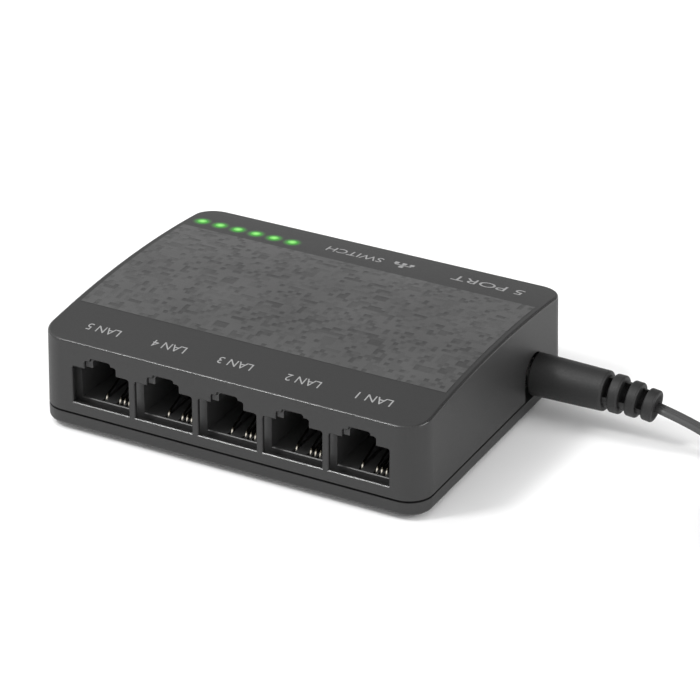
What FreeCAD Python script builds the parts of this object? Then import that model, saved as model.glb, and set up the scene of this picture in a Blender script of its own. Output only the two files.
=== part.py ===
"""Desktop five-port network switch with its power lead, in millimetres.

The row of ports faces -Y and the power plug leaves on the +X side.
The origin is the middle of the case's footprint, at the soles of its feet.
"""
import FreeCAD, Part
import math
import os
import re
import Sketcher

Vector = FreeCAD.Vector

SIZES = {
    # how far a cutting shape reaches past what it cuts
    "overshoot": 1.0,
    # case
    "case_width": 83.0,
    "case_depth": 64.6,
    "corner_radius": 5.0,
    "wall": 1.8,
    "floor_wall": 1.4,
    "wall_lean": 0.025,
    "case_bottom": 1.0,
    "bottom_rounding": 0.8,
    "top_rounding": 0.55,
    "small_rounding": 1.0,
    "seam_height": 4.1,
    "seam_gap": 0.45,
    "lip_height": 5.2,
    "lip_thickness": 0.9,
    "lip_clearance": 0.3,
    "lip_inner_radius": 1.0,
    "form_top": 24.0,
    "crown_height": 22.15,
    "arch_radius": 240.0,
    "arch_centre": 1.7,
    "rim_zone": 4.0,
    "lip_gap_depth": 5.0,
    "lip_gap_y": 3.5,
    "lip_gap_rise": 0.8,
    # posts under the board, and the label's seat
    "post_radius": 1.5,
    "post_x": 35.5,
    "post_y": 25.0,
    "support_radius": 3.4,
    "label_length": 39.6,
    "label_width": 21.6,
    "label_thickness": 0.1,
    "label_recess": 0.15,
    "label_margin": 0.2,
    # feet
    "foot_radius": 4.0,
    "foot_edge": 0.5,
    "foot_height": 1.4,
    "foot_recess": 0.4,
    "foot_inset": 10.0,
    # row of ports
    "port_pitch": 13.97,
    "port_row_offset": 0.63,
    "port_sill": 6.64,
    "window_width": 12.63,
    "window_height": 7.86,
    "window_notch_width": 7.0,
    "window_notch_top": 9.6,
    "window_slot_width": 4.6,
    "window_slot_top": 10.3,
    "window_corner": 0.5,
    "window_chamfer": 0.15,
    "window_wall": 0.8,
    "window_recess_low": 5.4,
    "window_recess_high": 18.0,
    # jack block behind the windows
    "jack_setback": 2.8,
    "jack_depth": 15.5,
    "jack_end_wall": 1.1,
    "jack_top": 17.4,
    "cavity_width": 11.8,
    "cavity_height": 6.85,
    "cavity_notch_width": 6.6,
    "cavity_notch_top": 8.6,
    "cavity_slot_width": 4.2,
    "cavity_slot_top": 9.3,
    "carrier_depth": 3.0,
    "carrier_clearance": 0.1,
    # contact wires
    "contact_pitch": 1.016,
    "contact_radius": 0.22,
    "contact_slot": 0.65,
    "contact_slot_setback": 0.4,
    "contact_slot_below": 0.4,
    "contact_slot_height": 2.0,
    "contact_drop_setback": 0.6,
    "contact_drop_length": 2.0,
    "contact_drop_height": 4.0,
    "contact_run_height": 5.75,
    "contact_bend_setback": 2.0,
    "contact_bend_rise": 1.45,
    "contact_bend_run": 0.6,
    "contact_tip_rise": 4.3,
    "contact_tip_run": 7.9,
    "contact_tail": 0.6,
    "contact_bend": 0.4,
    # circuit board
    "board_bottom": 3.2,
    "board_thickness": 1.2,
    "board_half_width": 38.2,
    "board_front": -28.4,
    "board_rear": 28.8,
    "tail_hole_radius": 0.4,
    "tail_inset": 1.0,
    # parts on the board
    "transformer_length": 12.2,
    "transformer_depth": 7.1,
    "transformer_height": 5.6,
    "transformer_gap": 5.5,
    "chip_x": -2.0,
    "chip_y": 11.0,
    "chip_side": 14.0,
    "chip_height": 1.4,
    "chip_standoff": 0.15,
    "chip_lead_pitch": 0.8,
    "chip_lead_length": 1.0,
    "chip_lead_width": 0.35,
    "chip_lead_thickness": 0.14,
    "chip_lead_reach": 7.55,
    "capacitor_height": 7.0,
    "led_length": 0.8,
    "led_depth": 1.6,
    "led_height": 0.8,
    # screws
    "screw_x": 31.0,
    "screw_y": 3.5,
    "screw_radius": 1.2,
    "screw_hole_radius": 1.5,
    "screw_head_radius": 2.4,
    "screw_head_height": 0.6,
    "screw_sink": 0.9,
    "screw_length": 9.0,
    "screw_inset": 0.1,
    "drive_length": 2.6,
    "drive_width": 0.5,
    "boss_radius": 3.0,
    "pilot_radius": 1.25,
    "pilot_depth": 12.0,
    "screw_way_depth": 4.0,
    # lights
    "light_first": -37.4,
    "light_pitch": 4.22,
    "light_y": 23.85,
    "light_radius": 0.95,
    "light_hole_radius": 1.05,
    "light_hole_depth": 10.0,
    "light_bar_bottom": 12.0,
    "light_bar_offset": 0.6,
    "light_bar_depth": 3.4,
    "light_bar_height": 1.6,
    "light_rod_gap": 1.2,
    "light_proud": 0.05,
    # power jack
    "jack_axis_y": 17.3,
    "jack_axis_z": 8.74,
    "socket_front": 39.0,
    "socket_length": 12.0,
    "socket_width": 9.0,
    "socket_bore": 3.1,
    "socket_pin_radius": 1.0,
    "socket_rear_wall": 1.6,
    "socket_pin_short": 1.0,
    "spring_setback": 5.0,
    "spring_length": 6.8,
    "spring_width": 2.2,
    "spring_thickness": 0.3,
    "spring_gap": 0.1,
    "side_slot_half_width": 4.2,
    "side_slot_top": 12.94,
    "side_slot_corner": 4.1,
    "side_slot_chamfer": 0.15,
    # plug
    "plug_face": 41.55,
    "plug_grip_length": 15.5,
    "plug_grip_radius": 4.35,
    "plug_grip_end_radius": 4.05,
    "sleeve_radius": 2.75,
    "sleeve_wall": 0.35,
    "sleeve_length": 9.5,
    "sleeve_root": 2.0,
    "plug_tube_radius": 1.35,
    "plug_tube_bore": 1.06,
    "relief_bend_radius": 60.0,
    "relief_length": 10.2,
    "relief_core_radius": 1.3,
    "collar_length": 2.2,
    "collar_rounding": 0.45,
    "web_drop": 0.65,
    "web_slab": 1.5,
    "web_pocket": 4.1,
    "web_turn": 225.0,
    "plug_front_rounding": 0.5,
    # power lead
    "cord_radius": 1.0,
    "coil_centre_x": 113.0,
    "coil_centre_y": -2.8,
    "coil_mean_radius": 17.0,
    "coil_outer_radius": 21.9,
    "coil_inner_radius": 12.1,
    "coil_height": 7.4,
    "coil_bottom": 0.6,
    "tie_width": 6.0,
    "tie_thickness": 0.8,
    # wall adapter, lying on its side
    "adapter_x": 169.0,
    "adapter_y": 12.0,
    "adapter_length": 46.0,
    "adapter_depth": 22.0,
    "adapter_width": 32.0,
    "adapter_wall": 2.0,
    "adapter_face_thickness": 3.0,
    "adapter_pin_radius": 2.0,
    "adapter_pin_length": 19.0,
    "adapter_pin_spacing": 19.0,
    "adapter_relief_length": 12.0,
    "adapter_relief_small": 1.9,
    "adapter_relief_large": 3.4,
    "adapter_pin_x": 30.0,
    "adapter_inner_gap": 4.0,
    "adapter_board_length": 38.0,
    "adapter_board_thickness": 1.2,
    "adapter_board_width": 26.0,
    "adapter_board_setback": 8.0,
    "adapter_core_inset": 6.0,
    "adapter_core_length": 14.0,
    "adapter_core_depth": 9.0,
    "adapter_core_width": 15.0,
}

COLLARS = ((1.05, 3.85), (4.6, 3.55), (8.0, 3.25))  # where each starts, and its radius
PORTS = 5
LIGHTS = 6
CHIP_LEADS = 16  # on each of its four sides
BOARD_BLOCKS = {  # where each stands on the board, and its size
    "regulator": ((15, 22), (6.5, 3.5, 1.7)),
    "inductor": ((15, 14), (6, 6, 3)),
    "crystal": ((-19, 8), (4.6, 11, 3.5)),
}
CAPACITORS = ((23, 9, 3.15), (22.5, 22.5, 2.5))  # where each stands, and its radius
WIRED_CONTACTS = (-1.5, 1.5, 2.5, 3.5)  # places 6, 3, 2 and 1 of the eight, in pitches
AXES = {
    "X": FreeCAD.Rotation(Vector(0, 1, 0), 90),
    "Y": FreeCAD.Rotation(Vector(1, 0, 0), -90),
    "Z": FreeCAD.Rotation(),
}

doc = FreeCAD.newDocument("desktop_switch")
sheet = doc.addObject("Spreadsheet::Sheet", "Sizes")
nodes = {}


# ---------------------------------------------------------------- helpers


def fill_sheet():
    """Writes every driving dimension into the sheet, under its own name."""
    for row, (name, number) in enumerate(SIZES.items(), 1):
        sheet.set(f"A{row}", name)
        sheet.set(f"B{row}", str(number))
        sheet.setAlias(f"B{row}", name)
    doc.recompute()


def value(name):
    return float(sheet.get(name))


def bind(item, prop, text):
    """Ties a property to an expression of the sheet's names."""
    named = re.sub(r"[a-z_]{4,}", lambda found: "Sizes." + found.group(0), str(text))
    item.setExpression(prop, named)


def node(label, item):
    """Keeps an object as a sub-part under the name of its file."""
    item.Label = label
    nodes[label] = item
    return item


def place(item, corner):
    for axis, text in zip("xyz", corner):
        bind(item, "Placement.Base." + axis, text)


def box(name, corner, lengths):
    """A box from its lowest corner."""
    item = doc.addObject("Part::Box", name)
    for prop, text in zip(("Length", "Width", "Height"), lengths):
        bind(item, prop, text)
    place(item, corner)
    return item


def block(name, foot, lengths):
    """A box that stands on the middle of its lowest face."""
    x, y, z = foot
    length, width, height = lengths
    corner = (f"({x}) - ({length}) / 2", f"({y}) - ({width}) / 2", z)
    return box(name, corner, lengths)


def cylinder(name, foot, radius, height, axis="Z"):
    """A cylinder from the middle of its lower end, along a row axis."""
    item = doc.addObject("Part::Cylinder", name)
    item.Placement = FreeCAD.Placement(Vector(), AXES[axis])
    bind(item, "Radius", radius)
    bind(item, "Height", height)
    place(item, foot)
    return item


def cone(name, foot, lower_radius, upper_radius, height, axis="Z"):
    item = doc.addObject("Part::Cone", name)
    item.Placement = FreeCAD.Placement(Vector(), AXES[axis])
    bind(item, "Radius1", lower_radius)
    bind(item, "Radius2", upper_radius)
    bind(item, "Height", height)
    place(item, foot)
    return item


def fuse(name, *items):
    item = doc.addObject("Part::MultiFuse", name)
    item.Shapes = list(items)
    item.Refine = True
    return item


def common(name, *items):
    item = doc.addObject("Part::MultiCommon", name)
    item.Shapes = list(items)
    return item


def cut(name, base, *tools):
    item = doc.addObject("Part::Cut", name)
    item.Base = base
    item.Tool = tools[0] if len(tools) == 1 else fuse(name + "_tools", *tools)
    return item


def group(name, *items):
    """Separate solids of one kind, kept together."""
    item = doc.addObject("Part::Compound", name)
    item.Links = list(items)
    return item


def rounded(name, base, radius, wanted):
    """Rounds the edges that wanted() picks."""
    doc.recompute()
    item = doc.addObject("Part::Fillet", name)
    item.Base = base
    picked = [n for n, edge in enumerate(base.Shape.Edges, 1) if wanted(edge)]
    item.Edges = [(n, value(radius), value(radius)) for n in picked]
    return item


def chamfered(name, base, size, wanted):
    """Breaks the edges that wanted() picks."""
    doc.recompute()
    item = doc.addObject("Part::Chamfer", name)
    item.Base = base
    picked = [n for n, edge in enumerate(base.Shape.Edges, 1) if wanted(edge)]
    item.Edges = [(n, value(size), value(size)) for n in picked]
    return item


def upright(edge):
    box_of = edge.BoundBox
    return box_of.ZLength > 0.9 * edge.Length


def origin_plane(body, role):
    return next(plane for plane in body.Origin.OriginFeatures if plane.Role == role)


def feature(name, shape):
    item = doc.addObject("Part::Feature", name)
    item.Shape = shape
    return item


def path_wire(points, bend=None):
    """Straight runs joined by tangent arcs, and the radii of the arcs.

    With no bend radius given, each arc is as large as its two runs allow.
    """
    starts, edges, made = points[0], [], []
    for before, here, after in zip(points, points[1:], points[2:]):
        back, ahead = before - here, after - here
        turn = math.pi - back.getAngle(ahead)
        shorter = min(back.Length, ahead.Length)
        reach = 0.45 * shorter if bend is None else bend * math.tan(turn / 2)
        radius = reach / math.tan(turn / 2)
        back.normalize()
        ahead.normalize()
        first, last = here + back * reach, here + ahead * reach
        towards = back + ahead
        towards.normalize()
        centre = here + towards * (radius / math.cos(turn / 2))
        edges.append(Part.LineSegment(starts, first).toShape())
        edges.append(Part.Arc(first, centre - towards * radius, last).toShape())
        starts = last
        made.append(radius)
    edges.append(Part.LineSegment(starts, points[-1]).toShape())
    return Part.Wire(edges), made


def tube(wire, radius):
    """A round bar along a path."""
    start = wire.Edges[0].Vertexes[0].Point
    heading = wire.Edges[0].tangentAt(wire.Edges[0].FirstParameter)
    ring = Part.Wire(Part.makeCircle(radius, start, heading))
    return wire.makePipeShell([ring], True, False)


# ---------------------------------------------------------------- case


def drafted_form(name, inset, front, low):
    """A block with rounded upright corners whose sides and rear lean inwards."""
    body = doc.addObject("PartDesign::Body", name)
    wedge = body.newObject("PartDesign::AdditiveWedge", name + "_wedge")
    wedge.Placement = FreeCAD.Placement(Vector(), FreeCAD.Rotation(Vector(1, 0, 0), 90))
    half = f"case_width / 2 - ({inset})"
    rear = f"case_depth / 2 - ({inset})"
    lean = f"wall_lean * (form_top - ({low}))"
    limits = {
        "Xmin": f"-({half})",
        "Xmax": half,
        "Zmin": f"-({rear})",
        "Zmax": front,
        "X2min": f"-({half}) + {lean}",
        "X2max": f"{half} - {lean}",
        "Z2min": f"-({rear}) + {lean}",
        "Z2max": front,
        "Ymin": low,
        "Ymax": "form_top",
    }
    for prop, text in limits.items():
        bind(wedge, prop, text)
    doc.recompute()
    corners = [f"Edge{n}" for n, edge in enumerate(wedge.Shape.Edges, 1) if upright(edge)]
    fillet = body.newObject("PartDesign::Fillet", name + "_corners")
    fillet.Base = (wedge, corners)
    bind(fillet, "Radius", f"corner_radius - ({inset})")
    body.Tip = fillet
    return body


def arch(name, drop):
    """The barrel that gives the top its shallow curve from front to rear."""
    middle = "crown_height - arch_radius"
    foot = ("-case_width", "arch_centre", middle)
    return cylinder(name, foot, f"arch_radius - ({drop})", "2 * case_width", "X")


def port_x(number):
    """The middle of a port; port 1 is next to the power jack."""
    return f"port_row_offset + {(PORTS + 1) // 2 - number} * port_pitch"


def stepped_opening(name, number, front, depth, kind):
    """The outline of a port: a mouth for the plug with two steps for its latch."""
    x = port_x(number)
    middle = f"({front}) + ({depth}) / 2"
    parts = []
    for step in ("", "_notch", "_slot"):
        tall = f"{kind}{step}_top" if step else f"{kind}_height"
        lengths = (f"{kind}{step}_width", depth, tall)
        plain = block(f"{name}{step}_block", (x, middle, "port_sill"), lengths)
        parts.append(rounded(f"{name}{step}_soft", plain, "window_corner", upper_and_deep))
    return fuse(name, *parts)


def upper_and_deep(edge):
    """An edge of a port's outline that runs from front to rear, above the sill."""
    spread = edge.BoundBox
    return spread.YLength > 0.9 * edge.Length and spread.ZMin > value("port_sill") + 1


def light_x(number):
    return f"light_first + {number} * light_pitch"


def screw_places():
    return [(-1, "left"), (1, "right")]


def upper_shell():
    low = "seam_height + seam_gap / 2"
    block_form = drafted_form("upper_outside", 0, "case_depth / 2", low)
    outside = common("upper_arched", block_form, arch("outer_arch", 0))
    top_edge = value("crown_height") - value("rim_zone")

    def rim(edge):
        return edge.BoundBox.ZMin > top_edge and not upright(edge)

    outside = rounded("upper_rounded", outside, "top_rounding", rim)
    inside_form = drafted_form("upper_inside", "wall", "case_depth / 2 - wall", "case_bottom")
    inside = common("upper_cavity", inside_form, arch("inner_arch", "wall"))
    hollow = cut("upper_hollow", outside, inside)
    boss_low = "board_bottom + board_thickness"
    bosses = []
    for side, word in screw_places():
        foot = (f"{side} * screw_x", "screw_y", boss_low)
        tall = f"crown_height - overshoot - ({boss_low})"
        bosses.append(cylinder(f"boss_{word}", foot, "boss_radius", tall))
    solid = fuse("upper_with_bosses", hollow, *bosses)
    openings = []
    for number in range(1, PORTS + 1):
        window = f"port_window_{number}"
        front = "-case_depth / 2 - overshoot"
        openings.append(stepped_opening(window, number, front, "wall + 2 * overshoot", "window"))
    for number in range(LIGHTS):
        foot = (light_x(number), "light_y", "light_bar_bottom + light_bar_height")
        openings.append(
            cylinder(f"light_hole_{number + 1}", foot, "light_hole_radius", "light_hole_depth")
        )
    for side, word in screw_places():
        foot = (f"{side} * screw_x", "screw_y", "case_bottom")
        openings.append(cylinder(f"pilot_{word}", foot, "pilot_radius", "pilot_depth"))
    openings += [window_recess(), side_slot()]
    opened = cut("upper_opened", solid, *openings)
    windows = chamfered("upper_windows_broken", opened, "window_chamfer", window_edge)
    node("upper_shell", chamfered("upper_finished", windows, "side_slot_chamfer", side_slot_edge))


def window_recess():
    """The pocket inside the front wall that thins it round the ports."""
    middle = "-case_depth / 2 + window_wall + wall / 2"
    lengths = (f"{PORTS} * port_pitch + overshoot", "wall", "window_recess_high - window_recess_low")
    return block("window_recess", ("port_row_offset", middle, "window_recess_low"), lengths)


def side_slot():
    """The slot in the right wall that the power plug reaches through."""
    foot = ("case_width / 2 - wall / 2", "jack_axis_y", "case_bottom")
    lengths = ("2 * wall", "2 * side_slot_half_width", "side_slot_top - case_bottom")
    plain = block("side_slot_block", foot, lengths)

    def top_corner(edge):
        return edge.BoundBox.XLength > 1 and edge.BoundBox.ZMin > value("side_slot_top") - 0.1

    return rounded("side_slot", plain, "side_slot_corner", top_corner)


def window_edge(edge):
    """An edge of a port's window on the front face."""
    spread, front = edge.BoundBox, -value("case_depth") / 2
    on_front = spread.YMax < front + 0.01
    inside = spread.ZMin > value("window_recess_low") and spread.ZMax < value("window_recess_high")
    return on_front and inside and abs(spread.Center.x) < value("case_width") / 2 - value("corner_radius")


def side_slot_edge(edge):
    """An edge of the side slot on the outer face of the wall."""
    spread, half = edge.BoundBox, value("side_slot_half_width") + 0.1
    outside = spread.XMin > value("case_width") / 2 - value("wall") / 2
    near = abs(spread.YMin - value("jack_axis_y")) < half and abs(spread.YMax - value("jack_axis_y")) < half
    return outside and near and spread.ZMax > value("seam_height") + 1


def lower_tray():
    """The tray without its lip: a sketched pad, rounded and pocketed."""
    body = doc.addObject("PartDesign::Body", "lower_tray")
    sketch = body.newObject("Sketcher::SketchObject", "tray_outline")
    sketch.AttachmentSupport = (origin_plane(body, "XY_Plane"), [""])
    sketch.MapMode = "FlatFace"
    bind(sketch, "AttachmentOffset.Base.z", "case_bottom")
    centred_rectangle(sketch, "case_width", "case_depth")
    pad = body.newObject("PartDesign::Pad", "tray_pad")
    pad.Profile = sketch
    bind(pad, "Length", "seam_height - seam_gap / 2 - case_bottom")
    doc.recompute()
    corners = [f"Edge{n}" for n, edge in enumerate(pad.Shape.Edges, 1) if upright(edge)]
    fillet = body.newObject("PartDesign::Fillet", "tray_corners")
    fillet.Base = (pad, corners)
    bind(fillet, "Radius", "corner_radius")
    doc.recompute()
    low = value("case_bottom") + 0.01
    rim = [f"Edge{n}" for n, edge in enumerate(fillet.Shape.Edges, 1) if edge.BoundBox.ZMax < low]
    rounding = body.newObject("PartDesign::Fillet", "tray_bottom_rounding")
    rounding.Base = (fillet, rim[:1])
    bind(rounding, "Radius", "bottom_rounding")
    body.Tip = rounding
    return body


def centred_rectangle(sketch, width, depth):
    """A rectangle about the sketch's origin, with its two sizes bound to the sheet."""
    x, y = value(width) / 2, value(depth) / 2
    corners = [Vector(-x, -y, 0), Vector(x, -y, 0), Vector(x, y, 0), Vector(-x, y, 0)]
    for first, last in zip(corners, corners[1:] + corners[:1]):
        sketch.addGeometry(Part.LineSegment(first, last), False)
    for side in range(4):
        sketch.addConstraint(Sketcher.Constraint("Coincident", side, 2, (side + 1) % 4, 1))
        level = "Horizontal" if side % 2 == 0 else "Vertical"
        sketch.addConstraint(Sketcher.Constraint(level, side))
    sketch.addConstraint(Sketcher.Constraint("Symmetric", 0, 1, 2, 1, -1, 1))
    for kind, side, length in (("DistanceX", 0, width), ("DistanceY", 1, depth)):
        place_of = sketch.addConstraint(Sketcher.Constraint(kind, side, 1, side, 2, value(length)))
        bind(sketch, f"Constraints[{place_of}]", length)


def ring_wall(name, inset, thickness, low, high):
    """A wall of even thickness that follows the case's outline."""
    rings = []
    outer_radius = value("corner_radius") - value("wall") - value("lip_clearance")
    layers = (("outer", "0", outer_radius), ("inner", thickness, value("lip_inner_radius")))
    for part, extra, radius in layers:
        margin = f"{inset} + {extra}"
        lengths = (f"case_width - 2 * ({margin})", f"case_depth - 2 * ({margin})", f"{high} - ({low})")
        plain = block(f"{name}_{part}_block", (0, 0, low), lengths)
        doc.recompute()
        item = doc.addObject("Part::Fillet", f"{name}_{part}")
        item.Base = plain
        picked = [n for n, edge in enumerate(plain.Shape.Edges, 1) if upright(edge)]
        item.Edges = [(n, radius, radius) for n in picked]
        rings.append(item)
    return cut(name, rings[0], rings[1])


def lower_shell():
    tray = lower_tray()
    floor_top = "case_bottom + floor_wall"
    lip_inset = "wall + lip_clearance"
    pocket_size = (
        f"case_width - 2 * ({lip_inset} + lip_thickness)",
        f"case_depth - 2 * ({lip_inset} + lip_thickness)",
        "form_top",
    )
    hollow = cut("tray_hollow", tray, block("tray_pocket", (0, 0, floor_top), pocket_size))
    lip = ring_wall("lip", lip_inset, "lip_thickness", floor_top, "lip_height")
    supports = []
    for side, word in screw_places():
        foot = (f"{side} * screw_x", "screw_y", floor_top)
        height = f"board_bottom - ({floor_top})"
        supports.append(cylinder(f"support_{word}", foot, "support_radius", height))
        for end, place_word in ((-1, "front"), (1, "rear")):
            post = (f"{side} * post_x", f"{end} * post_y", floor_top)
            supports.append(cylinder(f"post_{place_word}_{word}", post, "post_radius", height))
    whole = fuse("tray_with_lip", hollow, lip, *supports)
    tools = []
    gap = "lip_gap_depth"
    front_gap = ("port_row_offset", "lip_gap_y - case_depth / 2", "board_bottom + lip_gap_rise")
    wide = f"{PORTS} * port_pitch + 2 * jack_end_wall + overshoot"
    tools.append(block("lip_front_gap", front_gap, (wide, gap, gap)))
    side_gap = ("case_width / 2 - wall - lip_clearance", "jack_axis_y", "seam_height - seam_gap / 2")
    tools.append(block("lip_side_gap", side_gap, (gap, "socket_width + overshoot", gap)))
    for side, word in screw_places():
        foot = (f"{side} * screw_x", "screw_y", "case_bottom")
        tools.append(cylinder(f"screw_way_{word}", foot, "screw_hole_radius", "screw_way_depth"))
        low = (f"{side} * screw_x", "screw_y", "case_bottom - overshoot")
        deep = "overshoot + screw_sink"
        tools.append(cylinder(f"screw_sink_{word}", low, "screw_head_radius + screw_inset", deep))
    for x, y, word in foot_places():
        low = (x, y, "case_bottom - overshoot")
        tools.append(cylinder(f"foot_seat_{word}", low, "foot_radius", "overshoot + foot_recess"))
    seat = ("label_length + 2 * label_margin", "label_width + 2 * label_margin", "overshoot + label_recess")
    tools.append(block("label_seat", (0, 0, "case_bottom - overshoot"), seat))
    node("lower_shell", cut("lower_finished", whole, *tools))
    sheet_foot = (0, 0, "case_bottom + label_recess - label_thickness")
    lengths = ("label_length", "label_width", "label_thickness")
    node("rating_label", block("label_sheet", sheet_foot, lengths))


def foot_places():
    places = []
    for y_sign, y_word in ((-1, "front"), (1, "rear")):
        for x_sign, x_word in ((-1, "left"), (1, "right")):
            x = f"{x_sign} * (case_width / 2 - foot_inset)"
            y = f"{y_sign} * (case_depth / 2 - foot_inset)"
            places.append((x, y, f"{y_word}_{x_word}"))
    return places


def feet():
    for x, y, word in foot_places():
        low = cone(f"foot_sole_{word}", (x, y, 0), "foot_radius - foot_edge", "foot_radius", "foot_edge")
        pad_height = "foot_height - foot_edge"
        high = cylinder(f"foot_pad_{word}", (x, y, "foot_edge"), "foot_radius", pad_height)
        node(f"foot_{word}", fuse(f"foot_{word}_solid", low, high))


def case_screws():
    screws = []
    for side, word in screw_places():
        x = f"{side} * screw_x"
        low = (x, "screw_y", "case_bottom + screw_inset")
        head = cylinder(f"head_{word}", low, "screw_head_radius", "screw_head_height")
        shank = cylinder(f"shank_{word}", low, "screw_radius", "screw_length")
        across = ("drive_length", "drive_width", "drive_width")
        along = ("drive_width", "drive_length", "drive_width")
        drive = [
            block(f"drive_{way}_{word}", (x, "screw_y", "case_bottom"), lengths)
            for way, lengths in (("across", across), ("along", along))
        ]
        screws.append(cut(f"screw_{word}", fuse(f"screw_{word}_blank", head, shank), *drive))
    node("case_screws", group("case_screw_pair", *screws))


# ---------------------------------------------------------------- board


def wire_x(number, pitches):
    return f"{port_x(number)} + {pitches} * contact_pitch"


def tail_y():
    return "-case_depth / 2 + jack_setback + jack_depth - tail_inset"


def circuit_board():
    length = "2 * board_half_width"
    depth = "board_rear - board_front"
    middle = "(board_rear + board_front) / 2"
    plate = block("board_plate", (0, middle, "board_bottom"), (length, depth, "board_thickness"))
    holes = []
    for number in range(1, PORTS + 1):
        for place_of, pitches in enumerate(WIRED_CONTACTS):
            foot = (wire_x(number, pitches), tail_y(), "board_bottom - overshoot")
            deep = "board_thickness + 2 * overshoot"
            holes.append(cylinder(f"tail_hole_{number}_{place_of}", foot, "tail_hole_radius", deep))
    for side, word in screw_places():
        foot = (f"{side} * screw_x", "screw_y", "board_bottom - overshoot")
        holes.append(cylinder(f"board_hole_{word}", foot, "screw_hole_radius", "screw_way_depth"))
    node("circuit_board", cut("board_drilled", plate, *holes))


def jack_block():
    front = "-case_depth / 2 + jack_setback"
    board_top = "board_bottom + board_thickness"
    length = f"{PORTS} * port_pitch + 2 * jack_end_wall"
    lengths = (length, "jack_depth", f"jack_top - ({board_top})")
    solid = block("jack_solid", ("port_row_offset", f"{front} + jack_depth / 2", board_top), lengths)
    tools = []
    cavity_depth = "jack_depth + 2 * overshoot"
    for number in range(1, PORTS + 1):
        start = f"{front} - overshoot"
        tools.append(stepped_opening(f"cavity_{number}", number, start, cavity_depth, "cavity"))
        for place_of, pitches in enumerate(WIRED_CONTACTS):
            slot_middle = f"{front} + jack_depth / 2 + contact_slot_setback"
            slot_low = "contact_run_height - contact_slot_below"
            slot = (wire_x(number, pitches), slot_middle, slot_low)
            slot_size = ("contact_slot", "jack_depth", "contact_slot_height")
            tools.append(block(f"slot_{number}_{place_of}", slot, slot_size))
            drop = (wire_x(number, pitches), f"{tail_y()} + contact_drop_setback", "board_bottom")
            drop_size = ("contact_slot", "contact_drop_length", "contact_drop_height")
            tools.append(block(f"drop_{number}_{place_of}", drop, drop_size))
    opened = cut("jack_opened", solid, *tools)

    def sill_edge(edge):
        spread = edge.BoundBox
        on_front = spread.YMax < value("jack_setback") - value("case_depth") / 2 + 0.01
        return on_front and abs(spread.ZMax - value("port_sill")) < 0.01 and spread.ZLength < 0.01

    node("jack_block", chamfered("jack_broken", opened, "window_chamfer", sill_edge))


def contact_carriers():
    """The five inserts that close the rear of the ports, behind the plugs."""
    rear = "-case_depth / 2 + jack_setback + jack_depth"
    low = "port_sill + carrier_clearance"
    for number in range(1, PORTS + 1):
        foot = (port_x(number), f"{rear} - carrier_depth / 2", low)
        size_of = (
            "cavity_width - 2 * carrier_clearance",
            "carrier_depth",
            "cavity_height - 2 * carrier_clearance",
        )
        plain = block(f"carrier_{number}_block", foot, size_of)
        soft = rounded(f"carrier_{number}_soft", plain, "window_corner", upper_and_deep)
        node(f"contact_carrier_{number}", soft)


def contact_sets():
    """Sprung wires: up from the board, forward under the port and back up into it."""
    front = -value("case_depth") / 2 + value("jack_setback")
    rear = front + value("jack_depth") - value("tail_inset")
    run = value("contact_run_height")
    turn = front + value("contact_bend_setback")
    profile = [
        Vector(0, rear, value("board_bottom") - value("contact_tail")),
        Vector(0, rear, run),
        Vector(0, turn - value("contact_bend_run"), run),
        Vector(0, turn, run + value("contact_bend_rise")),
        Vector(0, turn + value("contact_tip_run"), run + value("contact_tip_rise")),
    ]
    for number in range(1, PORTS + 1):
        middle = value("port_row_offset") + ((PORTS + 1) // 2 - number) * value("port_pitch")
        wires = []
        for pitches in WIRED_CONTACTS:
            shift = Vector(middle + pitches * value("contact_pitch"), 0, 0)
            wire, _ = path_wire([point + shift for point in profile], value("contact_bend"))
            wires.append(tube(wire, value("contact_radius")))
        node(f"contact_set_{number}", feature(f"contacts_{number}", Part.makeCompound(wires)))


def board_parts():
    """The electronics, as blocks and cans at their usual package sizes."""
    top = "board_bottom + board_thickness"
    behind = "-case_depth / 2 + jack_setback + jack_depth"
    can = ("transformer_length", "transformer_depth", "transformer_height")
    for number in range(1, PORTS + 1):
        foot = (port_x(number), f"{behind} + transformer_gap", top)
        node(f"transformer_{number}", block(f"transformer_{number}_body", foot, can))
    chip = ("chip_side", "chip_side", "chip_height")
    node("switch_chip", block("chip_body", ("chip_x", "chip_y", f"{top} + chip_standoff"), chip))
    chip_leads(top)
    for label, (spot, lengths) in BOARD_BLOCKS.items():
        plain = block(f"{label}_body", (*spot, top), lengths)
        if label == "crystal":
            plain = rounded("crystal_rounded", plain, "bottom_rounding", upright)
        node(label, plain)
    for number, (x, y, radius) in enumerate(CAPACITORS, 1):
        can = cylinder(f"capacitor_{number}_can", (x, y, top), radius, "capacitor_height")
        node(f"capacitor_{number}", can)
    led = ("led_length", "led_depth", "led_height")
    for number in range(LIGHTS):
        foot = (light_x(number), "light_y", top)
        node(f"status_led_{number + 1}", block(f"led_{number + 1}_body", foot, led))


def chip_leads(top):
    """The chip's leads: a row along each of its four sides."""
    leads = []
    reach, thick = value("chip_lead_reach"), "chip_lead_thickness"
    for side in range(4):
        angle = math.radians(90 * side)
        for place_of in range(CHIP_LEADS):
            along = (place_of - (CHIP_LEADS - 1) / 2) * value("chip_lead_pitch")
            x = value("chip_x") + reach * math.cos(angle) - along * math.sin(angle)
            y = value("chip_y") + reach * math.sin(angle) + along * math.cos(angle)
            lengths = ("chip_lead_length", "chip_lead_width")
            if side % 2 == 1:
                lengths = lengths[::-1]
            leads.append(block(f"lead_{side}_{place_of}", (x, y, top), (*lengths, thick)))
    node("switch_chip_leads", group("chip_lead_frame", *leads))


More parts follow.
